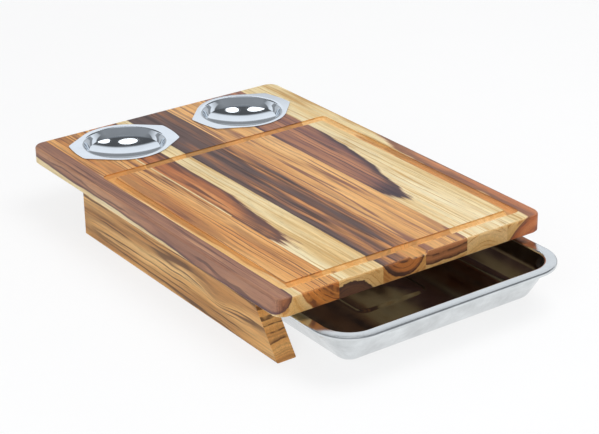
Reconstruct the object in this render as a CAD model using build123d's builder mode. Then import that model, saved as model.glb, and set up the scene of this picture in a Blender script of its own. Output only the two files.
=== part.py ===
from build123d import *
import math
import os

# A teak cutting board on two legs, with a pressed steel tray that slides in rebates cut in
# the legs, and two pressed steel bowls that hang in round holes near the back edge.
# Frame: X across, Y from front (-) to back (+), Z up from the table. Millimetres.

# Board: a panel edge-glued from staves that run front to back
board_side_overhang = 7.0
board_length = 440.0
board_thickness = 18.0
board_corner_r = 12.0
board_edge_r = 2.5
board_underside_chamfer = 1.0
left_stave_width = 16.0
right_stave_width = 44.0
stave_count = 7

# Juice groove: a routed loop, with a spout that opens at the front edge over the tray
groove_margin = 15.0
groove_length = 308.0
groove_width = 10.5
groove_depth = 3.7
groove_outer_corner_r = 6.0
groove_inner_corner_r = 1.0
groove_bottom_bevel = 2.2
spout_width = 21.0
spout_depth = 3.2
spout_side_slope = 3.0
spout_off_centre = 2.5

# Legs: planks on edge with a raked front end
leg_height = 50.0
leg_thickness = 20.0
leg_length = 334.0
leg_toe_setback = 13.5
leg_rake = 37.0
leg_edge_r = 1.0
rebate_depth = 10.5
rebate_height = 7.0
rebate_stop = 10.0
rebate_cutter_r = 3.0

# Dowels that pin each leg to the board, glued in
dowel_d = 6.0
dowel_length = 26.0
dowel_in_board = 10.0
dowel_count = 3
dowel_end_distance = 34.0
dowel_glue_gap = 0.05
dowel_hole_spare = 1.0

# Tray: a rectangular pan pressed from sheet, with a flat rim and a turned-down lip
tray_width = 265.0
tray_length = 325.0
tray_depth = 38.0
tray_out = 63.0
tray_sheet = 0.8
tray_corner_r = 39.0
tray_flange = 11.5
tray_lip = 2.8
tray_side_gap = 1.0
tray_rail_gap = 0.3
tray_knee_depth = 15.5
tray_knee_taper = 3.2
tray_floor_taper = 16.5
tray_lip_bend = 0.9
tray_rim_bend = 1.8
tray_knee_bend = 3.4
tray_floor_bend = 7.4
tray_floor_corner_r = 2.0

# Raised panel pressed in the tray floor, which stiffens it
floor_panel_width = 82.0
floor_panel_length = 143.0
floor_panel_corner_r = 12.0
floor_panel_rise = 1.6
floor_panel_step = 5.0

# Bowls: round dishes pressed from sheet, with a flange that widens to two ears
bowl_past_glue_line = 14.5
bowl_from_back = 54.0
bowl_sheet = 0.7
bowl_flange_d = 96.0
bowl_mouth_d = 84.0
bowl_knee_d = 78.0
bowl_ring_d = 69.0
bowl_floor_d = 66.0
bowl_knee_depth = 5.5
bowl_ring_depth = 9.6
bowl_depth = 12.0
bowl_mouth_bend = 1.2
bowl_ear_span = 110.0
bowl_ear_width = 39.0
bowl_ear_bulge = 1.6
bowl_ear_corner_r = 2.0
bowl_hole_gap = 0.8
bowl_seat_gap = 0.3
left_bowl_turn = -5.0
right_bowl_turn = 9.5

# Places that follow from the sizes above
overall_length = board_length + tray_out
tray_front = -overall_length / 2
tray_back = tray_front + tray_length
tray_centre_y = (tray_front + tray_back) / 2
board_front = tray_front + tray_out
board_back = board_front + board_length
board_centre_y = (board_front + board_back) / 2
board_top = leg_height + board_thickness
leg_toe = board_front + leg_toe_setback
leg_heel = leg_toe + leg_length
rebate_wall_x = tray_width / 2 + tray_side_gap
leg_inner_x = rebate_wall_x - rebate_depth
leg_outer_x = leg_inner_x + leg_thickness
board_width = 2 * (leg_outer_x + board_side_overhang)
full_stave_width = (board_width - left_stave_width - right_stave_width) / (stave_count - 2)
first_glue_line = left_stave_width - board_width / 2
inner_glue_lines = [first_glue_line + full_stave_width * n for n in range(stave_count - 1)]
glue_lines = [-board_width / 2, *inner_glue_lines, board_width / 2]
rebate_ledge = leg_height - rebate_height
rebate_end = leg_heel - rebate_stop
dowel_x = (rebate_wall_x + leg_outer_x) / 2
tray_rim_top = rebate_ledge + tray_rail_gap + tray_lip
tray_bottom = tray_rim_top - tray_depth
left_bowl_x = glue_lines[2] + bowl_past_glue_line
right_bowl_x = glue_lines[5] + bowl_past_glue_line
bowl_y = board_back - bowl_from_back
bowl_hole_r = bowl_mouth_d / 2 + bowl_sheet + bowl_hole_gap
first_dowel_y = leg_toe + leg_rake + dowel_end_distance
last_dowel_y = leg_heel - dowel_end_distance
dowel_pitch = (last_dowel_y - first_dowel_y) / (dowel_count - 1)
dowel_rows = [first_dowel_y + dowel_pitch * row for row in range(dowel_count)]

os.makedirs("parts", exist_ok=True)


def save(piece, name):
    piece.part.label = name
    export_step(piece.part, f"parts/{name}.step")


# The glued panel is shaped as one board, then parted along its glue lines into staves
with BuildPart() as panel:
    with BuildSketch(Plane.XY.offset(leg_height)):
        with Locations((0, board_centre_y)):
            RectangleRounded(board_width, board_length, board_corner_r)
    extrude(amount=board_thickness)
    fillet(panel.faces().sort_by(Axis.Z)[-1].edges(), board_edge_r)
    chamfer(panel.faces().sort_by(Axis.Z)[0].edges(), board_underside_chamfer)

    # juice groove, with both lower edges sloped by the cutter
    groove_outer_width = board_width - 2 * groove_margin
    groove_centre_y = board_front + groove_margin + groove_length / 2
    with BuildSketch(Plane.XY.offset(board_top)):
        with Locations((0, groove_centre_y)):
            RectangleRounded(groove_outer_width, groove_length, groove_outer_corner_r)
            RectangleRounded(
                groove_outer_width - 2 * groove_width,
                groove_length - 2 * groove_width,
                groove_inner_corner_r,
                mode=Mode.SUBTRACT,
            )
    extrude(amount=-groove_depth, mode=Mode.SUBTRACT)
    groove_floor = panel.faces().filter_by(Axis.Z).group_by(Axis.Z)[1]
    chamfer(groove_floor.edges(), groove_bottom_bevel)

    # spout, from the middle of the front groove out through the front edge
    spout_back = board_front + groove_margin + groove_width / 2
    with BuildSketch(Plane.XZ.offset(-spout_back)):
        with BuildLine():
            Polyline(
                (spout_off_centre - spout_width / 2, board_top),
                (spout_off_centre - spout_width / 2 + spout_side_slope, board_top - spout_depth),
                (spout_off_centre + spout_width / 2 - spout_side_slope, board_top - spout_depth),
                (spout_off_centre + spout_width / 2, board_top),
                close=True,
            )
        make_face()
    extrude(amount=groove_margin + groove_width, mode=Mode.SUBTRACT)

    # through holes that the bowls hang in
    with BuildSketch(Plane.XY.offset(leg_height)):
        with Locations((left_bowl_x, bowl_y), (right_bowl_x, bowl_y)):
            Circle(bowl_hole_r)
    extrude(amount=board_thickness, mode=Mode.SUBTRACT)

    # blind dowel holes in the underside
    with BuildSketch(Plane.XY.offset(leg_height)):
        with Locations([(side * dowel_x, y) for side in (-1, 1) for y in dowel_rows]):
            Circle(dowel_d / 2)
    extrude(amount=dowel_in_board + dowel_hole_spare, mode=Mode.SUBTRACT)


def stave(name, left, right, front, back):
    with BuildPart() as piece:
        add(panel.part)
        with BuildSketch(Plane.XY.offset(leg_height)):
            with Locations(((left + right) / 2, (front + back) / 2)):
                Rectangle(right - left, back - front)
        extrude(amount=board_thickness, mode=Mode.INTERSECT)
    save(piece, name)


for number in range(stave_count):
    left, right = glue_lines[number], glue_lines[number + 1]
    # a hole wider than its stave leaves a short block of that stave behind it
    holes_in_stave = [x for x in (left_bowl_x, right_bowl_x) if left < x < right]
    if any(x - left < bowl_hole_r and right - x < bowl_hole_r for x in holes_in_stave):
        stave(f"stave_{number + 1}", left, right, board_front, bowl_y)
        stave(f"stave_{number + 1}_back", left, right, bowl_y, board_back)
    else:
        stave(f"stave_{number + 1}", left, right, board_front, board_back)


def leg(name, side):
    with BuildPart() as piece:
        with BuildSketch(Plane.YZ.offset(side * leg_inner_x)):
            with BuildLine():
                Polyline(
                    (leg_toe, 0),
                    (leg_heel, 0),
                    (leg_heel, leg_height),
                    (leg_toe + leg_rake, leg_height),
                    close=True,
                )
            make_face()
        extrude(amount=side * leg_thickness)
        long_edges = piece.edges().filter_by(Axis.Y).group_by(Axis.Z)[0]
        fillet(long_edges, leg_edge_r)

        # rebate for the tray's rim, open at the front and stopped short of the heel
        with BuildSketch(Plane.YZ.offset(side * leg_inner_x)):
            with Locations(((leg_toe + rebate_end) / 2, (rebate_ledge + leg_height) / 2)):
                Rectangle(rebate_end - leg_toe, rebate_height)
        extrude(amount=side * rebate_depth, mode=Mode.SUBTRACT)
        stop_corner = piece.edges().filter_by(Axis.Z).filter_by_position(
            Axis.Y, rebate_end - 1, rebate_end + 1
        )
        fillet(stop_corner.sort_by(Axis.X)[-1 if side > 0 else 0], rebate_cutter_r)

        with BuildSketch(Plane.XY.offset(leg_height)):
            with Locations([(side * dowel_x, y) for y in dowel_rows]):
                Circle(dowel_d / 2)
        extrude(amount=dowel_in_board - dowel_length - dowel_hole_spare, mode=Mode.SUBTRACT)
    save(piece, name)


leg("left_leg", -1)
leg("right_leg", 1)


def dowel(name, x, y):
    with BuildPart() as piece:
        with BuildSketch(Plane.XY.offset(leg_height + dowel_in_board - dowel_length)):
            with Locations((x, y)):
                Circle(dowel_d / 2 - dowel_glue_gap)
        extrude(amount=dowel_length)
    save(piece, name)


for number, y in enumerate(dowel_rows, start=1):
    dowel(f"left_dowel_{number}", -dowel_x, y)
    dowel(f"right_dowel_{number}", dowel_x, y)


# Tray: the section of rim, wall and floor edge is swept round the rim's outline
# Both faces of the sheet follow its middle line. A bend is a facet across its corner, given by
# how far from the corner it starts, and 0 leaves the corner sharp.
def sheet_section(plane, points, bends, thickness):
    points = [Vector(point) for point in points]
    runs = [(b - a).normalized() for a, b in zip(points, points[1:])]
    middle = [points[0]]
    for corner, before, after, bend in zip(points[1:], runs, runs[1:], bends):
        middle += [corner - before * bend, corner + after * bend] if bend else [corner]
    middle.append(points[-1])
    runs = [(b - a).normalized() for a, b in zip(middle, middle[1:])]
    upper, lower = [], []
    for point, before, after in zip(middle, [runs[0], *runs], [*runs, runs[-1]]):
        mitre = (before + after).rotate(Axis.Z, 90) / (1 + before.dot(after))
        upper.append(point + mitre * thickness / 2)
        lower.append(point - mitre * thickness / 2)
    with BuildSketch(plane) as section:
        with BuildLine():
            Polyline(*upper, *reversed(lower), close=True)
        make_face()
    return section.sketch


with BuildSketch(Plane.XY.offset(tray_rim_top)) as rim_outline:
    with Locations((0, tray_centre_y)):
        RectangleRounded(tray_width, tray_length, tray_corner_r)

half_sheet = tray_sheet / 2
floor_edge = tray_corner_r - tray_floor_corner_r
floor_lap = floor_edge - tray_sheet
wall_plane = Plane((tray_width / 2, tray_centre_y, tray_rim_top), x_dir=(-1, 0, 0), z_dir=(0, 1, 0))
wall_points = [
    (half_sheet, -tray_lip),
    (half_sheet, -half_sheet),
    (tray_flange, -half_sheet),
    (tray_flange + tray_knee_taper, -tray_knee_depth),
    (tray_flange + tray_floor_taper, half_sheet - tray_depth),
    (floor_edge, half_sheet - tray_depth),
]
wall_bends = [tray_lip_bend, tray_rim_bend, tray_knee_bend, tray_floor_bend]
wall_section = sheet_section(wall_plane, wall_points, wall_bends, tray_sheet)

with BuildPart() as tray:
    sweep(sections=wall_section, path=rim_outline.sketch.wire())
    with BuildSketch(Plane.XY.offset(tray_bottom)):
        with Locations((0, tray_centre_y)):
            RectangleRounded(
                tray_width - 2 * floor_lap,
                tray_length - 2 * floor_lap,
                tray_corner_r - floor_lap,
            )
    extrude(amount=tray_sheet)

    # raised panel: the same tapered form is added above the floor and cut from below it
    panel_taper = math.degrees(math.atan2(floor_panel_step, floor_panel_rise))
    for level, mode in ((tray_sheet, Mode.ADD), (0, Mode.SUBTRACT)):
        with BuildSketch(Plane.XY.offset(tray_bottom + level)):
            with Locations((0, tray_centre_y)):
                RectangleRounded(floor_panel_width, floor_panel_length, floor_panel_corner_r)
        extrude(amount=floor_panel_rise, taper=panel_taper, mode=mode)
save(tray, "tray")


# Bowls: a turned dish with a flat flange whose outline widens to two ears
def bowl(name, x, turn):
    seat = Plane((x, bowl_y, board_top + bowl_seat_gap)).rotated((0, 0, turn))
    radial = Plane(seat.origin, x_dir=seat.x_dir, z_dir=-seat.y_dir)
    middle = bowl_sheet / 2
    dish_rim_r = bowl_mouth_d / 2 + 2 * bowl_mouth_bend
    dish_points = [
        (dish_rim_r, middle),
        (bowl_mouth_d / 2, middle),
        (bowl_knee_d / 2, -bowl_knee_depth),
        (bowl_ring_d / 2, -bowl_ring_depth),
        (bowl_floor_d / 2, middle - bowl_depth),
        (0, middle - bowl_depth),
    ]
    dish_section = sheet_section(radial, dish_points, [bowl_mouth_bend, 0, 0, 0], bowl_sheet)
    ear_x = bowl_ear_span / 2
    with BuildPart() as piece:
        with BuildSketch(seat) as flange:
            with BuildLine():
                CenterArc((0, 0), bowl_flange_d / 2, 0, 360)
                for side in (-1, 1):
                    ThreePointArc(
                        (side * (ear_x - bowl_ear_bulge), -bowl_ear_width / 2),
                        (side * ear_x, 0),
                        (side * (ear_x - bowl_ear_bulge), bowl_ear_width / 2),
                    )
            make_hull()
            ear_corners = flange.vertices().sort_by_distance((0, 0))[-4:]
            fillet(ear_corners, bowl_ear_corner_r)
            Circle(dish_rim_r - bowl_sheet, mode=Mode.SUBTRACT)
        extrude(amount=bowl_sheet)
        revolve(dish_section, axis=Axis(seat.origin, seat.z_dir))
    save(piece, name)


bowl("left_bowl", left_bowl_x, left_bowl_turn)
bowl("right_bowl", right_bowl_x, right_bowl_turn)
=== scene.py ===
import math
from functools import partial

import bmesh
import bpy
import numpy as np
from mathutils import Matrix, Vector


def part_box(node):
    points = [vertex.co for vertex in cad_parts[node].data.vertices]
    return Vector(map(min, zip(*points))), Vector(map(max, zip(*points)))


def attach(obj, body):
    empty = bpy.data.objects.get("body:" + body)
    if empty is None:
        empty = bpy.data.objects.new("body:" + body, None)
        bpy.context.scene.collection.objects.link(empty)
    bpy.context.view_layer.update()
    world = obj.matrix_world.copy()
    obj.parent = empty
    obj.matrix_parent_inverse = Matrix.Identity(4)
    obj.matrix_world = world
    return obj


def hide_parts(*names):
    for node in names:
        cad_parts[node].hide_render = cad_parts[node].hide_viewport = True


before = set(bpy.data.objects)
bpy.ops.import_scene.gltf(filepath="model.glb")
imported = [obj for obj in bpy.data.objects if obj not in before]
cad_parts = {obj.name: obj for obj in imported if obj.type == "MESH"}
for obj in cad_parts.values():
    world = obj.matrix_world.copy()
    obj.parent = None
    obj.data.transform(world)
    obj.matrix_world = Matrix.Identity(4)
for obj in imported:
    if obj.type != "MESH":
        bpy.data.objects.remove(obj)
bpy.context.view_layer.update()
mm = 0.001


def linearColour(hexText):
    # sRGB hex to the linear values that a shader works in
    shares = [int(hexText[i:i + 2], 16) / 255 for i in (1, 3, 5)]
    return [s / 12.92 if s <= 0.04045 else ((s + 0.055) / 1.055) ** 2.4 for s in shares] + [1.0]


def addNode(tree, kind, inputs=(), output=0, **settings):
    # one node with its settings. Its inputs are values or other nodes' outputs, by name or in
    # order. What comes back is the output asked for, or the node itself for None
    made = tree.nodes.new(kind)
    for name, value in settings.items():
        setattr(made, name, value)
    for name, value in inputs.items() if isinstance(inputs, dict) else enumerate(inputs):
        if isinstance(value, bpy.types.NodeSocket):
            tree.links.new(value, made.inputs[name])
        else:
            made.inputs[name].default_value = value
    return made if output is None or not made.outputs else made.outputs[output]


def newMaterial(name):
    material = bpy.data.materials.new(name)
    material.use_nodes = True
    material.node_tree.nodes.clear()
    return material, partial(addNode, material.node_tree)


def linkPiece(name, mesh, material, body, slotName, *replaced):
    piece = bpy.data.objects.new(name, mesh)
    bpy.context.scene.collection.objects.link(piece)
    mesh.materials.clear()
    mesh.materials.append(material)
    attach(piece, body)
    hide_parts(*replaced)


colourMix = dict(output=2, data_type="RGBA")  # what a Mix node takes to mix colours
middleRange = (0.3, 0.7)  # where most of a noise texture's values lie

# Teak, sawn and planed, oiled. Sapwood is cream and heartwood runs from orange tan to purple
# brown, with thin dark lines where the growth rings come up. One solid pattern per plank, so
# lines on top turn into rings on the ends. In mm, in the part's frame:
# pith and pithBack are the middle (x, z) of the heartwood at the front end and the back end,
# heart is its radius at places along y, and flat is how much wider than high it is.
# rings is the far centre (x, z) that the lines on the faces curve round.
# tones and sap run from the darkest bands to the lightest, and bandGain is how far they swing.
# line and sapLine are the thin lines, linePitch apart, and lineMix is how strong they are.
# rim is the dark edge of the heartwood, rimWidth wide, and ragged is how far it wanders.
# Left of sliver's x and behind its y the wood is all sapwood.
# drift is the x and y of the dark part, then how much lighter each mm makes it to the right
# of there and in front of there.
# frontTone is the heartwood's own colour on the ends, and endTint is what the oil does there.
sapTones = ["#DFBD82", "#EBD3A0", "#F2E1B6"]
staveLooks = {
    "stave_1": dict(
        pith=(-165, 80), pithBack=(-145, 90), rings=(-240, 40),
        heart=[(-188, 32.5), (-80, 33.6), (0, 31.6), (251, 33.3)],
        tones=["#896254", "#A4765E", "#C2916E"], line="#5B3F3F", linePitch=3.4, lineMix=0.7,
        rim="#5A4048", rimWidth=1.6, sap=sapTones, sapLine="#CDA164", seed=3.1),
    "stave_2": dict(
        pith=(-75, 88), pithBack=(-75, 88), rings=(-230, 20),
        heart=[(-188, 54), (130, 62.3), (251, 67)],
        tones=["#C8854C", "#E0A15D", "#E9B271"], line="#74493C", linePitch=5.2, lineMix=0.85,
        rim="#A96E45", rimWidth=0.9, sap=["#E3C58C", "#F0DCAE", "#F5E6C0"],
        sapLine="#DDB97C", seed=7.7),
    "stave_3": dict(
        pith=(-74, 30), pithBack=(-98, 30), rings=(-250, 10),
        heart=[(-188, 33), (-130, 36.3), (-100, 38), (-53, 40.3), (-8, 43.8), (31, 47.2),
               (131, 51.9), (251, 59.7)],
        tones=["#B36C42", "#CA8450", "#DA9A62"], line="#633D35", linePitch=4.2, lineMix=0.85,
        rim="#4B3B40", rimWidth=1.9, sap=sapTones, sapLine="#D0A768", seed=12.4,
        sliver=(-84.2, -20), ragged=4.0, frontTone="#6E554B"),
    "stave_4": dict(
        pith=(-14, 76.4), pithBack=(-22, 84), rings=(-190, 40),
        heart=[(-188, 25.4), (-60, 45), (251, 60)],
        tones=["#6A5550", "#97694F", "#CD8F58"], line="#4A3937", linePitch=4.6, lineMix=0.85,
        rim="#4C3530", rimWidth=1.5, sap=["#CFA268", "#DDB57A", "#E5C48E"],
        sapLine="#B98850", seed=21.9, drift=(-14, -60, 0.0075, 0.0009), bandGain=1.6),
    "stave_5": dict(
        pith=(34, 118), pithBack=(40, 118), flat=2.2, rings=(-130, 20),
        heart=[(-188, 64.5), (251, 80)],
        tones=["#D69C62", "#EBB473", "#F4C588"], line="#7A4F4E", linePitch=6.4, lineMix=0.8,
        rim="#4A342E", rimWidth=1.3, sap=sapTones, sapLine="#C99C5F", seed=33.3,
        frontTone="#B98868", bandGain=0.7),
    "stave_6": dict(
        pith=(78, 30), pithBack=(54, 30), rings=(-110, 20),
        heart=[(-188, 16), (-130, 33), (-91, 38.2), (-60, 40), (-28, 43), (40, 51),
               (121, 60), (251, 70)],
        tones=["#845D57", "#A7755D", "#C28865"], line="#51434A", linePitch=5.0, lineMix=0.75,
        rim="#463D45", rimWidth=2.2, sap=["#EACF9B", "#F5E3B8", "#F8EAC8"],
        sapLine="#D3AA6B", seed=41.2, ragged=2.5),
    "stave_7": dict(
        pith=(150, 20), pithBack=(150, 20), rings=(-60, 10),
        heart=[(-188, 51), (-18, 50.2), (46, 48), (120, 44), (251, 36)],
        tones=["#AE6E4D", "#C98157", "#D9976A"], line="#71484A", linePitch=4.4, lineMix=0.7,
        rim="#84604F", rimWidth=1.5, sap=["#E0C189", "#EED8A6", "#F3E2B8"],
        sapLine="#C79C5E", seed=55.5),
}
# the legs are cut from inside the heartwood, so its radius takes in the whole of them
legLook = dict(
    pith=(0, -900), pithBack=(0, -900), heart=[(-188, 2000), (251, 2001)], rings=(-330, -150),
    tones=["#BC874E", "#DDA968", "#EEC485"], line="#5A3B2A", linePitch=4.4, lineMix=0.85,
    rim="#74502F", rimWidth=1.0, sap=sapTones, sapLine="#9C7040", seed=68.1,
    endTint="#FFF0DC")
# a knot's middle (y, z), its length and height, and how far it lifts the lines
legKnot = (-83, 26, 22, 9, 8.0)
# the juice groove's walls are blended part way to a light golden tone: partly the groove's own
# more golden wood, partly painted light that lifts the shade falling in the groove.
# skin and full are the depths where that starts and where it is all there
groove = dict(
    left=-136.5, right=136.5, near=-186.0, far=145.0, floor=64.0, top=68.0, skin=0.2, full=1.0,
    tone="#FBBE6E", strength=0.42)

# what every plank shares, in mm where it is a length. front and length are the board's along y
teakGrain = dict(
    front=-188.5, length=440.0, endFacing=(0.45, 0.85),
    swayAcross=3.5, swayUp=2.0, fineSway=1.6, faceSway=0.45, faceFineSway=0.8,
    ragged=1.6, heartEdge=(-0.4, 0.5), rimStrength=0.85, margin=1.0,
    bandPitch=10.0, bandLength=190.0, bandGain=0.9, tonePlaces=(0.34, 0.5, 0.66),
    boldLength=330.0, boldWidth=(0.075, 0.04), fadeRange=(0.40, 0.54), fadeLeast=0.25,
    thinPitch=1.9, thinLength=110.0, thinRange=(0.56, 0.66), thinStrength=0.34,
    darkPitches=2.2, darkLength=210.0, darkRange=(0.60, 0.66), darkStrength=0.5,
    sapBold=0.9, sapThin=0.42, ringRoughness=0.55,
    fibreShade=(0.84, 1.14), streakShade=(0.92, 1.07), poreRange=(0.60, 0.72), poreShade=-0.20,
    rough=(0.44, 0.60), poreRelief=0.8, relief=0.12, reliefStrength=0.4, endTint="#E3C6A0")
# noise in the wood: features per mm across, along and up the plank, then its shift, detail and
# roughness. Fibres and pores are about twice as coarse as they are, so that they show
woodNoise = dict(
    swayAcross=((0.02, 0.006, 0.02), 0, 2.0, 0.5),
    swayUp=((0.03, 0.011, 0.03), 40, 2.0, 0.5),
    fineSway=((0.07, 0.024, 0.07), 9, 2.0, 0.5),
    ragged=((0.4, 0.014, 0.4), 61, 2.0, 0.5),
    fade=((0.10, 0.010, 0.10), 21, 1.0, 0.5),
    fibre=((0.9, 0.022, 0.9), 5, 4.0, 0.65),
    pores=((1.5, 0.09, 1.5), 15, 1.0, 0.5),
    streak=((0.36, 0.009, 0.36), 33, 3.0, 0.6))


def heartRadius(add, along, heart):
    # the heartwood's radius along the plank, as a curve through the places given
    front, length, margin = (teakGrain[k] for k in ("front", "length", "margin"))
    radii = [radius for _, radius in heart]
    low, high = min(radii) - margin, max(radii) + margin
    curve = add("ShaderNodeFloatCurve", {"Value": along}, None)
    points = curve.mapping.curves[0].points
    spots = [((y - front) / length, (radius - low) / (high - low)) for y, radius in heart]
    points[0].location, points[-1].location = spots[0], spots[-1]
    for spot in spots[1:-1]:
        points.new(*spot)
    curve.mapping.update()
    return add("ShaderNodeMath", (curve.outputs[0], high - low, low), operation="MULTIPLY_ADD")


def grooveLightShare(add, x, y, z, cut):
    # how much of the painted light and golden tone a point of the groove takes: below the face
    # and within its four sides
    share = add("ShaderNodeMapRange", (z, cut["top"] - cut["skin"], cut["top"] - cut["full"]))
    for value, side, limit in (
            (z, "GREATER_THAN", "floor"), (x, "GREATER_THAN", "left"), (x, "LESS_THAN", "right"),
            (y, "GREATER_THAN", "near"), (y, "LESS_THAN", "far")):
        within = add("ShaderNodeMath", (value, cut[limit]), operation=side)
        share = add("ShaderNodeMath", (share, within), operation="MULTIPLY")
    return add("ShaderNodeMath", (share, cut["strength"]), operation="MULTIPLY")


def teakMaterial(name, look):
    material, add = newMaterial(name)
    grain, seed = teakGrain, look["seed"]
    place = add("ShaderNodeTexCoord", output=None).outputs
    inMm = add("ShaderNodeVectorMath", {0: place["Object"], "Scale": 1 / mm}, operation="SCALE")
    x, y, z = add("ShaderNodeSeparateXYZ", (inMm,), None).outputs
    along = add("ShaderNodeMapRange", (y, grain["front"], grain["front"] + grain["length"]))
    facing = add("ShaderNodeSeparateXYZ", (place["Normal"],), 1)
    squarely = add("ShaderNodeMath", (facing,), operation="ABSOLUTE")
    endGrain = add("ShaderNodeMapRange", (squarely, *grain["endFacing"]))
    noise = {}
    for field, (scale, shift, detail, roughness) in woodNoise.items():
        start = (seed + shift, seed * 1.7, seed * 0.6)
        spread = add("ShaderNodeMapping", {"Vector": inMm, "Scale": scale, "Location": start})
        noise[field] = add("ShaderNodeTexNoise", {
            "Vector": spread, "Scale": 1.0, "Detail": detail, "Roughness": roughness}, "Fac")

    # the grain wanders a little as it runs, and lifts over a knot
    ragged = look.get("ragged", grain["ragged"]) / 2
    sway = {}
    for field, most in (("swayAcross", grain["swayAcross"]), ("swayUp", grain["swayUp"]),
                        ("fineSway", grain["fineSway"]), ("ragged", ragged)):
        sway[field] = add("ShaderNodeMapRange", (noise[field], 0.0, 1.0, -most, most))
    swayUp = sway["swayUp"]
    if "knot" in look:
        knotY, knotZ, length, height, lift = look["knot"]
        fromKnot = add("ShaderNodeMapping", {
            "Vector": inMm, "Scale": (0, 1 / length, 1 / height),
            "Location": (0, -knotY / length, -knotZ / height)})
        squared = add("ShaderNodeVectorMath", (fromKnot, fromKnot), 1, operation="DOT_PRODUCT")
        falling = add("ShaderNodeMath", (squared, -1.0), operation="MULTIPLY")
        bell = add("ShaderNodeMath", (falling,), operation="EXPONENT")
        swayUp = add("ShaderNodeMath", (bell, lift, swayUp), operation="MULTIPLY_ADD")
    swayed = add("ShaderNodeCombineXYZ", (sway["swayAcross"], 0.0, swayUp))

    # how far a point is from the pith, and from the far centre of the lines on the faces
    (frontX, frontZ), (backX, backZ) = look["pith"], look["pithBack"]
    pithAt = add("ShaderNodeMix", {
        0: along, 4: (frontX, 0, frontZ), 5: (backX, 0, backZ)}, 1, data_type="VECTOR")
    moved = add("ShaderNodeVectorMath", (inMm, swayed), operation="ADD")
    aside = add("ShaderNodeVectorMath", (moved, pithAt), operation="SUBTRACT")
    aside = add("ShaderNodeVectorMath", (
        aside, (1 / look.get("flat", 1.0), 0, 1)), operation="MULTIPLY")
    fromPith = add("ShaderNodeVectorMath", (aside,), 1, operation="LENGTH")
    fromPith = add("ShaderNodeMath", (fromPith, sway["fineSway"]), operation="ADD")
    ringX, ringZ = look["rings"]
    aside = add("ShaderNodeVectorMath", (
        swayed, (grain["faceSway"], 0, 1), inMm), operation="MULTIPLY_ADD")
    aside = add("ShaderNodeVectorMath", (
        aside, (1, 0, 1), (-ringX, 0, -ringZ)), operation="MULTIPLY_ADD")
    fromRings = add("ShaderNodeVectorMath", (aside,), 1, operation="LENGTH")
    fromRings = add("ShaderNodeMath", (
        sway["fineSway"], grain["faceFineSway"], fromRings), operation="MULTIPLY_ADD")
    ringAt = add("ShaderNodeMix", {0: endGrain, 2: fromRings, 3: fromPith})

    # how far inside the heartwood a point lies, and the dark rim just inside its edge
    radius = heartRadius(add, along, look["heart"])
    inside = add("ShaderNodeMath", (radius, fromPith), operation="SUBTRACT")
    inside = add("ShaderNodeMath", (inside, sway["ragged"]), operation="ADD")
    heart = add("ShaderNodeMapRange", (inside, *grain["heartEdge"]))
    if "sliver" in look:
        edge, near = look["sliver"]
        leftOf = add("ShaderNodeMath", (x, edge), operation="LESS_THAN")
        behind = add("ShaderNodeMath", (y, near), operation="GREATER_THAN")
        strip = add("ShaderNodeMath", (leftOf, behind), operation="MULTIPLY")
        rest = add("ShaderNodeMath", (1.0, strip), operation="SUBTRACT")
        heart = add("ShaderNodeMath", (heart, rest), operation="MULTIPLY")
    fromRim = add("ShaderNodeMath", (
        inside, 1 / look["rimWidth"], -0.5), operation="MULTIPLY_ADD")
    squared = add("ShaderNodeMath", (fromRim, fromRim), operation="MULTIPLY")
    falling = add("ShaderNodeMath", (squared, -1.0), operation="MULTIPLY")
    rim = add("ShaderNodeMath", (falling,), operation="EXPONENT")
    rim = add("ShaderNodeMath", (rim, heart), operation="MULTIPLY")
    rim = add("ShaderNodeMath", (rim, grain["rimStrength"]), operation="MULTIPLY")

    # noise laid along the rings: mm from band to band, mm along the plank, shift and detail
    pitch = look["linePitch"]
    ringNoise = dict(
        bands=(grain["bandPitch"], grain["bandLength"], 1.0, 2.0),
        bold=(pitch, grain["boldLength"], 5.0, 0.0),
        thin=(grain["thinPitch"], grain["thinLength"], 9.0, 1.0),
        dark=(pitch * grain["darkPitches"], grain["darkLength"], 13.0, 1.0))
    for field, (across, length, shift, detail) in ringNoise.items():
        laid = add("ShaderNodeCombineXYZ", (ringAt, y, seed + shift))
        laid = add("ShaderNodeVectorMath", (
            laid, (1 / across, 1 / length, 1)), operation="MULTIPLY")
        noise[field] = add("ShaderNodeTexNoise", {
            "Vector": laid, "Scale": 1.0, "Detail": detail,
            "Roughness": grain["ringRoughness"]}, "Fac")

    # broad bands of tone
    gain = look.get("bandGain", grain["bandGain"])
    bands = add("ShaderNodeMath", (
        noise["bands"], gain, 0.5 - 0.5 * gain), operation="MULTIPLY_ADD")
    if "drift" in look:
        darkX, darkY, perMm, alongMm = look["drift"]
        toRight = add("ShaderNodeMath", (x, darkX), operation="SUBTRACT")
        bands = add("ShaderNodeMath", (toRight, perMm, bands), operation="MULTIPLY_ADD")
        toBack = add("ShaderNodeMath", (y, darkY), operation="SUBTRACT")
        bands = add("ShaderNodeMath", (toBack, -alongMm, bands), operation="MULTIPLY_ADD")
    banded = {}
    for wood in ("tones", "sap"):
        ramp = add("ShaderNodeValToRGB", {"Fac": bands}, None)
        stops = ramp.color_ramp.elements
        stops.new(0.5)
        for stop, position, tone in zip(stops, grain["tonePlaces"], look[wood]):
            stop.position, stop.color = position, linearColour(tone)
        banded[wood] = ramp.outputs[0]

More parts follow.
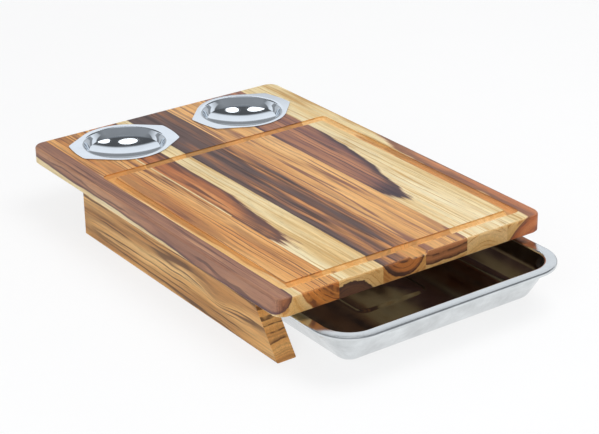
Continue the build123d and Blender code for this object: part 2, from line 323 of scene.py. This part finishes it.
    # bold lines that fade in and out, thin ones between them, and a few broad dark ones
    middle = add("ShaderNodeMath", (noise["bold"], 0.5), operation="SUBTRACT")
    middle = add("ShaderNodeMath", (middle,), operation="ABSOLUTE")
    bold = add("ShaderNodeMapRange", (middle, *grain["boldWidth"]))
    fade = add("ShaderNodeMapRange", (noise["fade"], *grain["fadeRange"]))
    thin = add("ShaderNodeMapRange", (noise["thin"], *grain["thinRange"]))
    dark = add("ShaderNodeMapRange", (noise["dark"], *grain["darkRange"]))
    least = grain["fadeLeast"]
    faded = add("ShaderNodeMath", (fade, 1 - least, least), operation="MULTIPLY_ADD")
    faded = add("ShaderNodeMath", (bold, faded), operation="MULTIPLY")
    fine = add("ShaderNodeMath", (thin, grain["thinStrength"]), operation="MULTIPLY")
    broad = add("ShaderNodeMath", (dark, grain["darkStrength"]), operation="MULTIPLY")
    lines = add("ShaderNodeMath", (faded, fine), operation="MAXIMUM")
    lines = add("ShaderNodeMath", (lines, broad), operation="MAXIMUM")
    lines = add("ShaderNodeMath", (
        lines, look["lineMix"]), operation="MULTIPLY", use_clamp=True)
    sapBold = add("ShaderNodeMath", (fade, grain["sapBold"]), operation="MULTIPLY")
    sapBold = add("ShaderNodeMath", (bold, sapBold), operation="MULTIPLY")
    sapFine = add("ShaderNodeMath", (thin, grain["sapThin"]), operation="MULTIPLY")
    sapLines = add("ShaderNodeMath", (sapBold, sapFine), operation="MAXIMUM")

    rimTone = linearColour(look["rim"])
    heartTone = add("ShaderNodeMix", {
        0: lines, 6: banded["tones"], 7: linearColour(look["line"])}, **colourMix)
    if "frontTone" in look:
        ended = add("ShaderNodeMix", {
            0: lines, 6: linearColour(look["frontTone"]), 7: rimTone}, **colourMix)
        heartTone = add("ShaderNodeMix", {0: endGrain, 6: heartTone, 7: ended}, **colourMix)
    heartTone = add("ShaderNodeMix", {0: rim, 6: heartTone, 7: rimTone}, **colourMix)
    sapTone = add("ShaderNodeMix", {
        0: sapLines, 6: banded["sap"], 7: linearColour(look["sapLine"])}, **colourMix)
    colour = add("ShaderNodeMix", {0: heart, 6: sapTone, 7: heartTone}, **colourMix)

    # fibres, streaks and pores shade it
    fibre = noise["fibre"]
    shade = add("ShaderNodeMapRange", (fibre, *middleRange, *grain["fibreShade"]))
    streaks = add("ShaderNodeMapRange", (noise["streak"], *middleRange, *grain["streakShade"]))
    pores = add("ShaderNodeMapRange", (noise["pores"], *grain["poreRange"]))
    specks = add("ShaderNodeMath", (pores, grain["poreShade"], 1.0), operation="MULTIPLY_ADD")
    shade = add("ShaderNodeMath", (shade, streaks), operation="MULTIPLY")
    shade = add("ShaderNodeMath", (shade, specks), operation="MULTIPLY")
    colour = add("ShaderNodeVectorMath", {0: colour, "Scale": shade}, operation="SCALE")

    # end grain drinks more oil, so it is deeper and browner
    endTint = linearColour(look.get("endTint", grain["endTint"]))
    oiled = add("ShaderNodeMix", {
        0: 1.0, 6: colour, 7: endTint}, blend_type="MULTIPLY", **colourMix)
    colour = add("ShaderNodeMix", {0: endGrain, 6: colour, 7: oiled}, **colourMix)
    # painted light: the groove's walls are blended towards a light golden tone that lifts the
    # shade in them, and partly shows the groove's own colour
    if "groove" in look:
        grooveLight = grooveLightShare(add, x, y, z, look["groove"])
        grooveLightTone = linearColour(look["groove"]["tone"])
        colour = add("ShaderNodeMix", {0: grooveLight, 6: colour, 7: grooveLightTone}, **colourMix)

    rough = add("ShaderNodeMapRange", (fibre, *middleRange, *grain["rough"]))
    sunk = add("ShaderNodeMath", (pores, grain["poreRelief"]), operation="MULTIPLY")
    relief = add("ShaderNodeMath", (fibre, sunk), operation="SUBTRACT")
    bump = add("ShaderNodeBump", {
        "Height": relief, "Strength": grain["reliefStrength"],
        "Distance": grain["relief"] * mm})
    surface = add("ShaderNodeBsdfPrincipled", {
        "Base Color": colour, "Roughness": rough, "Normal": bump, "IOR": 1.5,
        "Specular IOR Level": 0.35})
    add("ShaderNodeOutputMaterial", {"Surface": surface})
    return material


for staveName, look in staveLooks.items():
    plank = teakMaterial("oiledTeak_" + staveName, dict(look, groove=groove))
    for nodeName in (staveName, staveName + "_back"):
        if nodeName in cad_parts:
            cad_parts[nodeName].material_slots[0].material = plank
legTeak = {
    "left_leg": teakMaterial("oiledTeak_leftLeg", dict(legLook, knot=legKnot)),
    "right_leg": teakMaterial(
        "oiledTeak_rightLeg", dict(legLook, knot=legKnot, rings=(330, -150), seed=81.3)),
}
for nodeName, plank in legTeak.items():
    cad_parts[nodeName].material_slots[0].material = plank
# beech, turned to a pin and left plain: pale, close and even
dowelBeech = teakMaterial("turnedBeech", dict(
    legLook, rings=(300, 40), tones=["#CDA57A", "#D9B48A", "#E2C29C"], line="#BD9466",
    linePitch=1.4, lineMix=0.4, seed=90.4))
for nodeName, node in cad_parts.items():
    if "dowel" in nodeName:
        node.material_slots[0].material = dowelBeech
print("wood: staves, legs and dowels have their grain")

nearlyStraight = math.radians(89.5)  # a corner's half angle past which it gets no arc


def roundedLine(points, radii, steps=7):
    # a polyline with its corners turned to arcs, each arc in a few short runs
    line = [Vector(points[0])]
    for before, corner, after, radius in zip(points, points[1:], points[2:], radii):
        before, corner, after = Vector(before), Vector(corner), Vector(after)
        inward, outward = (before - corner).normalized(), (after - corner).normalized()
        half = inward.angle(outward) / 2
        if radius <= 0 or half > nearlyStraight:
            line.append(corner)
            continue
        centre = corner + (inward + outward).normalized() * radius / math.sin(half)
        start = corner + inward * radius / math.tan(half)
        end = corner + outward * radius / math.tan(half)
        for step in range(steps + 1):
            spoke = (start - centre).lerp(end - centre, step / steps)
            line.append(centre + spoke.normalized() * radius)
    line.append(Vector(points[-1]))
    return line


def sheetFaces(line, thickness):
    # the two faces of a sheet that follows the line
    upper, lower = [], []
    for n, point in enumerate(line):
        before = (point - line[n - 1]).normalized() if n else (line[1] - point).normalized()
        after = (line[n + 1] - point).normalized() if n < len(line) - 1 else before
        turned = (before + after) / (1 + before.dot(after))
        normal = Vector((-turned.y, turned.x))
        upper.append(point + normal * thickness / 2)
        lower.append(point - normal * thickness / 2)
    return upper, lower


def smoothMesh(mesh, degrees):
    form = bmesh.new()
    form.from_mesh(mesh)
    bmesh.ops.remove_doubles(form, verts=form.verts, dist=0.000005)
    bmesh.ops.dissolve_degenerate(form, edges=form.edges, dist=0.000002)
    bmesh.ops.recalc_face_normals(form, faces=form.faces)
    form.to_mesh(mesh)
    form.free()
    mesh.shade_smooth()
    mesh.set_sharp_from_angle(angle=math.radians(degrees))


def pressedSteel(name, finish):
    # Stainless sheet, pressed in a die. The pressing leaves a faint mottle in its shine and
    # tone. mottleScale and grainScale are features per mm, and bump is in mm
    material, add = newMaterial(name)
    place = add("ShaderNodeTexCoord", output="Object")
    inMm = add("ShaderNodeVectorMath", {0: place, "Scale": 1 / mm}, operation="SCALE")
    blotch = add("ShaderNodeTexNoise", {
        "Vector": inMm, "Scale": finish["mottleScale"], "Detail": 4.0, "Roughness": 0.6}, "Fac")
    grain = add("ShaderNodeTexNoise", {
        "Vector": inMm, "Scale": finish["grainScale"], "Detail": 3.0, "Roughness": 0.6}, "Fac")
    rough, swing = finish["rough"], finish["roughSwing"]
    shine = add("ShaderNodeMapRange", (blotch, *middleRange, rough - swing, rough + swing))
    bright = linearColour(finish["tone"])
    toned = add("ShaderNodeValToRGB", {"Fac": blotch}, None)
    first, last = toned.color_ramp.elements
    first.position, last.position = finish["mottleRange"]
    first.color = [share * (1 - finish["mottle"]) for share in bright[:3]] + [1.0]
    last.color = bright
    bump = add("ShaderNodeBump", {
        "Height": grain, "Strength": 0.25, "Distance": finish["bump"] * mm})
    surface = add("ShaderNodeBsdfPrincipled", {
        "Base Color": toned.outputs[0], "Metallic": 1.0, "Roughness": shine, "Normal": bump})
    add("ShaderNodeOutputMaterial", {"Surface": surface})
    return material


# satin from the press: the rim mirrors the room softly, and the walls only light and dark
traySteel = pressedSteel("satinStainlessTray", dict(
    tone="#E4E8EA", rough=0.15, roughSwing=0.05, mottle=0.26, mottleScale=0.045,
    mottleRange=(0.3, 0.72), grainScale=1.4, bump=0.02))
# polished after pressing: it mirrors the room almost sharply
bowlSteel = pressedSteel("polishedStainlessBowl", dict(
    tone="#DEE5EC", rough=0.045, roughSwing=0.02, mottle=0.08, mottleScale=0.06,
    mottleRange=(0.3, 0.72), grainScale=0.25, bump=0.002))

# the tray is pressed from one sheet: a rim, a wall and a floor with a raised panel
tray = dict(
    width=265.0, length=325.0, depth=38.0, sheet=0.8, cornerRadius=39.0, flange=11.5, lip=2.8,
    kneeDepth=15.5, kneeTaper=3.2, floorTaper=16.5,
    lipBend=1.0, rimBend=2.0, kneeBend=20.0, floorBend=13.0,
    panelWidth=82.0, panelLength=143.0, panelCorner=12.0, panelRise=1.6, panelStep=5.0,
    panelFoot=1.2, panelCornerShare=0.9, panelSteps=8, cornerSteps=26, sharpAngle=35)
ringSizes = ("ringWidth", "ringLength", "ringCorner", "ringHeight")


def trayRings():
    # the sizes of each ring, from the middle of the floor up over the rim and back underneath
    t = tray
    half = t["sheet"] / 2
    floorLevel = half - t["depth"]
    wall = roundedLine(
        [(half, -t["lip"]), (half, -half), (t["flange"], -half),
         (t["flange"] + t["kneeTaper"], -t["kneeDepth"]),
         (t["flange"] + t["floorTaper"], floorLevel), (t["cornerRadius"], floorLevel)],
        [t["lipBend"], t["rimBend"], t["kneeBend"], t["floorBend"]])
    faces = sheetFaces(wall, t["sheet"])
    outside, inside = (faces if faces[0][2].y > faces[1][2].y else faces[::-1])[::-1]

    def wallRing(point):
        inset = point.x
        corner = max(t["cornerRadius"] - inset, 0.0)
        return (t["width"] - 2 * inset, t["length"] - 2 * inset, corner, point.y)

    def floorRings(level):
        # a flat ring round the panel, its soft step, and its top drawn in to a line
        width, length, corner = (t[k] for k in ("panelWidth", "panelLength", "panelCorner"))
        rise, step, foot = t["panelRise"], t["panelStep"], t["panelFoot"]
        rings = [(width + 2 * foot, length + 2 * foot, corner + foot, level)]
        for n in range(t["panelSteps"] + 1):
            share = n / t["panelSteps"]
            inset = 2 * step * share
            lift = rise * (0.5 - 0.5 * math.cos(math.pi * share))
            rings.append((width - inset, length - inset,
                          corner - step * share * t["panelCornerShare"], level + lift))
        rings.append((0.0, length - width, 0.0, level + rise))
        return rings

    top = [wallRing(p) for p in inside] + floorRings(floorLevel + half)
    under = [wallRing(p) for p in outside] + floorRings(floorLevel - half)
    return top[::-1] + under


def trayTree():
    # each ring is a rounded rectangle: its width, length, corner radius and height come in
    # on the points of the base mesh, and a grid is bent to them
    tree = bpy.data.node_groups.new("pressedTray", "GeometryNodeTree")
    add = partial(addNode, tree)
    face = tree.interface
    for name, kind in (("Rings", "Geometry"), ("Corner Steps", "Int"), ("Centre", "Vector"),
                       ("Steel", "Material")):
        face.new_socket(name, in_out="INPUT", socket_type="NodeSocket" + kind)
    face.new_socket("Tray", in_out="OUTPUT", socket_type="NodeSocketGeometry")
    given = add("NodeGroupInput", output=None).outputs
    cornerSteps = given["Corner Steps"]

    # which ring a point of the grid is on, which corner of it, and which step round that
    perCorner = add("ShaderNodeMath", (cornerSteps, 1.0), operation="ADD")
    perTurn = add("ShaderNodeMath", (perCorner, 4.0), operation="MULTIPLY")
    perRing = add("ShaderNodeMath", (perTurn, 1.0), operation="ADD")
    ringCount = add("GeometryNodeAttributeDomainSize", {
        "Geometry": given["Rings"]}, "Point Count")
    grid = add("GeometryNodeMeshGrid", {"Vertices X": ringCount, "Vertices Y": perRing})
    index = add("GeometryNodeInputIndex")
    ring = add("ShaderNodeMath", (index, 0.5), operation="ADD")
    ring = add("ShaderNodeMath", (ring, perRing), operation="DIVIDE")
    ring = add("ShaderNodeMath", (ring,), operation="FLOOR")
    passed = add("ShaderNodeMath", (ring, perRing), operation="MULTIPLY")
    spot = add("ShaderNodeMath", (index, passed), operation="SUBTRACT")
    spot = add("ShaderNodeMath", (spot, 0.25), operation="ADD")
    spot = add("ShaderNodeMath", (spot, perTurn), operation="MODULO")
    corner = add("ShaderNodeMath", (spot, perCorner), operation="DIVIDE")
    corner = add("ShaderNodeMath", (corner,), operation="FLOOR")
    passed = add("ShaderNodeMath", (corner, perCorner), operation="MULTIPLY")
    step = add("ShaderNodeMath", (spot, passed), operation="SUBTRACT")
    step = add("ShaderNodeMath", (step,), operation="FLOOR")

    # the angle of that step, and the angle of the middle of its corner
    turn = add("ShaderNodeMath", (step, cornerSteps), operation="DIVIDE")
    turn = add("ShaderNodeMath", (corner, turn), operation="ADD")
    turn = add("ShaderNodeMath", (turn, math.pi / 2), operation="MULTIPLY")
    middle = add("ShaderNodeMath", (corner, 0.5), operation="ADD")
    middle = add("ShaderNodeMath", (middle, math.pi / 2), operation="MULTIPLY")
    size = {}
    for name in ringSizes:
        named = add("GeometryNodeInputNamedAttribute", {"Name": name}, data_type="FLOAT")
        size[name] = add("GeometryNodeSampleIndex", {
            "Geometry": given["Rings"], "Value": named, "Index": ring},
            data_type="FLOAT", domain="POINT")
    radius = size["ringCorner"]
    spots = []
    for name, axis in (("ringWidth", "COSINE"), ("ringLength", "SINE")):
        side = add("ShaderNodeMath", (middle,), operation=axis)
        side = add("ShaderNodeMath", (side,), operation="SIGN")
        centre = add("ShaderNodeMath", (size[name], 0.5), operation="MULTIPLY")
        centre = add("ShaderNodeMath", (centre, radius), operation="SUBTRACT")
        centre = add("ShaderNodeMath", (centre, side), operation="MULTIPLY")
        swing = add("ShaderNodeMath", (turn,), operation=axis)
        spots.append(add("ShaderNodeMath", (radius, swing, centre), operation="MULTIPLY_ADD"))
    local = add("ShaderNodeCombineXYZ", (*spots, size["ringHeight"]))
    placed = add("ShaderNodeVectorMath", (local, given["Centre"]), operation="ADD")
    bent = add("GeometryNodeSetPosition", {"Geometry": grid, "Position": placed})
    closed = add("GeometryNodeMergeByDistance", {"Geometry": bent, "Distance": 0.00001})
    real = add("GeometryNodeRealizeInstances", {"Geometry": closed})
    finished = add("GeometryNodeSetMaterial", {"Geometry": real, "Material": given["Steel"]})
    add("NodeGroupOutput", {"Tray": finished})
    return tree


rings = trayRings()
ringMesh = bpy.data.meshes.new("trayRings")
ringMesh.from_pydata([(0, 0, n * mm) for n in range(len(rings))], [], [])
for column, name in enumerate(ringSizes):
    values = ringMesh.attributes.new(name, "FLOAT", "POINT")
    values.data.foreach_set("value", [ring[column] * mm for ring in rings])
trayBase = bpy.data.objects.new("trayBase", ringMesh)
bpy.context.scene.collection.objects.link(trayBase)
trayLow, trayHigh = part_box("tray")
trayInputs = {
    "Corner Steps": tray["cornerSteps"], "Steel": traySteel,
    "Centre": ((trayLow.x + trayHigh.x) / 2, (trayLow.y + trayHigh.y) / 2, trayHigh.z)}
modifier = trayBase.modifiers.new("pressing", "NODES")
modifier.node_group = trayTree()
for item in modifier.node_group.interface.items_tree:
    if item.name in trayInputs:
        modifier[item.identifier] = trayInputs[item.name]
bpy.context.view_layer.update()
evaluated = trayBase.evaluated_get(bpy.context.evaluated_depsgraph_get())
trayMesh = bpy.data.meshes.new_from_object(evaluated)
bpy.data.objects.remove(trayBase)
smoothMesh(trayMesh, tray["sharpAngle"])
linkPiece("pressedTray", trayMesh, traySteel, "tray", "tray_steel", "tray")
print("tray:", len(trayMesh.polygons), "faces")

# each bowl is a pressed dish whose flange widens to two ears
bowl = dict(
    depth=12.0, sheet=0.7, flange=96.0, mouth=84.0, knee=77.2, ring=73.0, kneeDepth=5.0,
    ringDepth=7.5, mouthRun=3.2, hub=0.001, mouthBend=1.6, kneeBend=30.0, ringBend=0.7,
    earSpan=110.0, earWidth=39.0, earBulge=1.6, earCorner=5.0, deburr=0.12,
    floorSteps=12, bendSteps=6, earSteps=8, arcSteps=16, sharpAngle=25,
    turns={"left_bowl": -5.0, "right_bowl": 9.5})


def earOutline():
    # the flange's outline. A quarter of it is half of an ear's end, its corner, a straight run
    # and an arc of the circle, and that is mirrored twice
    b = bowl
    steps, radius = b["earSteps"], b["flange"] / 2
    endX, cornerY = b["earSpan"] / 2, b["earWidth"] / 2
    cornerX = endX - b["earBulge"]
    reach = math.hypot(cornerX, cornerY)
    touch = math.atan2(cornerY, cornerX) + math.acos(radius / reach)
    ear = []
    for n in range(steps + 1):
        y = cornerY * n / steps
        ear.append((endX - b["earBulge"] * (y / cornerY) ** 2, y))
    touchPoint = (radius * math.cos(touch), radius * math.sin(touch))
    corner = roundedLine([ear[-2], ear[-1], touchPoint], [b["earCorner"]], b["bendSteps"])
    quarter = [Vector(p) for p in ear[:-2]] + corner[:-1]
    last = quarter[-1]
    quarter += [last.lerp(Vector(touchPoint), n / steps) for n in range(1, steps)]
    quarter += [Vector((radius * math.cos(a), radius * math.sin(a)))
                for a in np.linspace(touch, math.pi / 2, b["arcSteps"])]
    upper = quarter + [Vector((-p.x, p.y)) for p in quarter[-2::-1]]
    return upper + [Vector((p.x, -p.y)) for p in upper[-2:0:-1]]


def dishSection():
    # from the middle out: a floor that rises to its ring, the wall, and the start of the flange
    b = bowl
    middle = b["sheet"] / 2
    floorAt = middle - b["depth"]
    steps, rise = b["floorSteps"], -b["ringDepth"] - floorAt
    floorLine = [(b["ring"] / 2 * n / steps, floorAt + rise * (n / steps) ** 2)
                 for n in range(1, steps + 1)]
    wallLine = [(b["knee"] / 2, -b["kneeDepth"]), (b["mouth"] / 2, middle),
                (b["mouth"] / 2 + b["mouthRun"], middle)]
    bends = [0] * (steps - 1) + [b["ringBend"], b["kneeBend"], b["mouthBend"]]
    return roundedLine([(b["hub"], floorAt)] + floorLine + wallLine, bends, b["bendSteps"])


def bowlMesh(name):
    b = bowl
    upper, lower = sheetFaces(dishSection(), b["sheet"])
    outline = earOutline()
    spokes = [p.normalized() for p in outline]
    low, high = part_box(name)
    seat = Vector(((low.x + high.x) / 2, (low.y + high.y) / 2, high.z - b["sheet"] * mm)) / mm
    turn = Matrix.Rotation(math.radians(b["turns"][name]), 3, "Z")

    def circle(point):
        return [Vector((s.x * point.x, s.y * point.x, point.y)) for s in spokes]

    def edge(inset, height):
        return [Vector((p.x - s.x * inset, p.y - s.y * inset, height))
                for s, p in zip(spokes, outline)]

    deburr = b["deburr"]
    rings = [circle(p) for p in upper[1:]]
    rings += [edge(deburr, b["sheet"]), edge(0, b["sheet"] - deburr)]
    rings += [edge(0, deburr), edge(deburr, 0.0)]
    rings += [circle(p) for p in lower[:0:-1]]
    count = len(spokes)
    vertices = [seat + turn @ v for ring in rings for v in ring]
    faces = []
    for r in range(len(rings) - 1):
        for n in range(count):
            m = (n + 1) % count
            faces.append((r * count + n, r * count + m,
                          (r + 1) * count + m, (r + 1) * count + n))
    for r, height in ((0, upper[0].y), (len(rings) - 1, lower[0].y)):
        vertices.append(seat + Vector((0, 0, height)))
        hub = len(vertices) - 1
        faces += [(r * count + n, r * count + (n + 1) % count, hub) for n in range(count)]
    mesh = bpy.data.meshes.new(name + "_dish")
    mesh.from_pydata([v * mm for v in vertices], [], faces)
    smoothMesh(mesh, b["sharpAngle"])
    return mesh


for name in ("left_bowl", "right_bowl"):
    linkPiece(name + "_dish", bowlMesh(name), bowlSteel, name, "bowl_steel", name)
print("bowls: two dishes pressed")

# a pale floor, soft light from above and a camera at the photograph's angle
studio = dict(
    eye=(-0.9180, -1.3088, 0.7644), yaw=35.23, pitch=24.49, roll=0.85, lens=109.1,
    sensor=36.0, clipEnd=50.0, floorReach=6.0, paperShade=(0.91, 0.94), paperScale=220.0,
    floorGlow=0.78, skyTone="#EEF1F6", sky=0.60, tint=(0.97, 1.0, 1.04), sideRange=(-0.25, 0.35))
# what polished steel mirrors, as height and level, where 0 is the horizon and 1 is overhead:
# on the camera's far side a pale backdrop low down and a dark studio above it, and elsewhere
# the room
backdropLevels = [
    (0.0, 0.70), (0.22, 0.60), (0.25, 0.30), (0.34, 0.34), (0.36, 1.05), (0.50, 0.98),
    (0.54, 0.10), (0.70, 0.11), (0.78, 0.26), (0.93, 0.30), (0.98, 0.90), (1.0, 0.90)]
roomLevels = [(0.0, 0.85), (0.25, 0.62), (0.45, 0.34), (0.93, 0.30), (0.98, 0.90), (1.0, 0.90)]
# each softbox: its place, what it points at, its size and its power
softboxes = {
    "keySoftbox": ((0.5, -0.4, 1.7), (0, 0, 0.05), (1.2, 1.2), 15.4),
    "fillSoftbox": ((-1.6, -1.0, 0.9), (0, 0, 0.05), (1.0, 1.0), 10.0),
    "lowSoftbox": ((0.1, -2.2, 0.30), (0, -0.2, 0.05), (1.8, 0.5), 4.0),
}
# two lamps far behind the board show as ovals in the bowls. Each has its heading, in degrees
# from +Y towards +X, and its width
bowlLamps = dict(
    aim=(0, 0.1975, 0.06), headings=((27.2, 0.88), (38.0, 0.62)), rise=39.5, far=8.0,
    height=1.05, powerPerWidth=6.0)
# a faint lamp in the tray stands for the light that it and the board throw back and forth
bounceLamp = ((0, -0.10, 0.018), (0, -0.10, 1), (0.16, 0.24), 0.016)
yaw, pitch, roll = (math.radians(studio[k]) for k in ("yaw", "pitch", "roll"))


def raysIn(add):
    # whether a ray comes from the camera, and whether it comes from a mirror or glass
    rays = add("ShaderNodeLightPath", output=None).outputs
    mirrored = add("ShaderNodeMath", (
        rays["Is Glossy Ray"], rays["Is Transmission Ray"]), operation="MAXIMUM")
    return rays["Is Camera Ray"], mirrored


# matt white paper. To the camera and in mirrors floorGlow of it is plain white, so it looks
# pale and still takes the shadow, and it throws no more light on the object
floorMaterial, add = newMaterial("paperFloor")
fromCamera, fromMirror = raysIn(add)
fibres = add("ShaderNodeTexNoise", {"Scale": studio["paperScale"], "Detail": 2.0}, "Fac")
shadeLow, shadeHigh = studio["paperShade"]
tone = add("ShaderNodeMapRange", {"Value": fibres, "To Min": shadeLow, "To Max": shadeHigh})
paper = add("ShaderNodeBsdfDiffuse", {"Color": tone})
glow = add("ShaderNodeEmission", {"Strength": 1.0})
looked = add("ShaderNodeMath", (fromCamera, fromMirror), operation="MAXIMUM")
seen = add("ShaderNodeMath", (looked, studio["floorGlow"]), operation="MULTIPLY")
shown = add("ShaderNodeMixShader", (seen, paper, glow))
add("ShaderNodeOutputMaterial", {"Surface": shown})
floorMesh = bpy.data.meshes.new("floor")
far = studio["floorReach"]
floorMesh.from_pydata(
    [(-far, -far, 0), (far, -far, 0), (far, far, 0), (-far, far, 0)], [], [(0, 1, 2, 3)])
floorMesh.materials.append(floorMaterial)
floor = bpy.data.objects.new("floor", floorMesh)
bpy.context.scene.collection.objects.link(floor)

world = bpy.data.worlds.new("studioWorld")
world.use_nodes = True
world.node_tree.nodes.clear()
add = partial(addNode, world.node_tree)
fromCamera, fromMirror = raysIn(add)
outward = add("ShaderNodeTexCoord", output="Generated")
height = add("ShaderNodeSeparateXYZ", (outward,), 2)
skies = []
for levels in (roomLevels, backdropLevels):
    ramp = add("ShaderNodeValToRGB", {"Fac": height}, None)
    spots = ramp.color_ramp.elements
    for position, level in levels:
        ends = {0.0: spots[0], 1.0: spots[-1]}
        spot = ends[position] if position in ends else spots.new(position)
        spot.color = [level * share for share in studio["tint"]] + [1.0]
    skies.append(ramp.outputs[0])
facing = (math.sin(yaw), math.cos(yaw), 0.0)
ahead = add("ShaderNodeVectorMath", (outward, facing), "Value", operation="DOT_PRODUCT")
side = add("ShaderNodeMapRange", (ahead, *studio["sideRange"]))
surround = add("ShaderNodeMix", {0: side, 6: skies[0], 7: skies[1]}, **colourMix)
ambient = add("ShaderNodeBackground", {
    "Color": linearColour(studio["skyTone"]), "Strength": studio["sky"]})
mirrored = add("ShaderNodeBackground", {"Color": surround, "Strength": 1.0})
white = add("ShaderNodeBackground", {"Color": (1, 1, 1, 1), "Strength": 1.0})
lit = add("ShaderNodeMixShader", (fromMirror, ambient, mirrored))
shown = add("ShaderNodeMixShader", (fromCamera, lit, white))
add("ShaderNodeOutputWorld", {"Surface": shown})
bpy.context.scene.world = world


def addLamp(name, place, aim, size, power, shape="RECTANGLE", mirrored=False):
    lamp = bpy.data.lights.new(name, "AREA")
    lamp.shape, lamp.energy = shape, power
    lamp.size, lamp.size_y = size
    made = bpy.data.objects.new(name, lamp)
    made.visible_glossy = mirrored
    made.visible_camera = False
    made.location = place
    made.rotation_euler = (Vector(aim) - Vector(place)).to_track_quat("-Z", "Y").to_euler()
    bpy.context.scene.collection.objects.link(made)


for name, softbox in softboxes.items():
    addLamp(name, *softbox)
aim, rise = Vector(bowlLamps["aim"]), math.radians(bowlLamps["rise"])
for number, (heading, width) in enumerate(bowlLamps["headings"]):
    heading = math.radians(heading)
    way = Vector((
        math.sin(heading) * math.cos(rise), math.cos(heading) * math.cos(rise), math.sin(rise)))
    addLamp(f"bowlLamp_{number}", aim + way * bowlLamps["far"], aim,
            (width, bowlLamps["height"]), bowlLamps["powerPerWidth"] * width, "ELLIPSE", True)
addLamp("bounce", *bounceLamp)

forward = Vector((
    math.sin(yaw) * math.cos(pitch), math.cos(yaw) * math.cos(pitch), -math.sin(pitch)))
right = Vector((math.cos(yaw), -math.sin(yaw), 0))
down = forward.cross(right)
rolledRight = right * math.cos(roll) + down * math.sin(roll)
rolledDown = down * math.cos(roll) - right * math.sin(roll)
camera = bpy.data.cameras.new("camera")
camera.lens, camera.sensor_width = studio["lens"], studio["sensor"]
camera.clip_end = studio["clipEnd"]
cameraObject = bpy.data.objects.new("camera", camera)
bpy.context.scene.collection.objects.link(cameraObject)
turn = Matrix((rolledRight, -rolledDown, -forward)).transposed().to_4x4()
cameraObject.matrix_world = Matrix.Translation(Vector(studio["eye"])) @ turn
bpy.context.scene.camera = cameraObject
bpy.context.scene.view_settings.view_transform = "Standard"
print("studio: floor, world, lamps and camera")
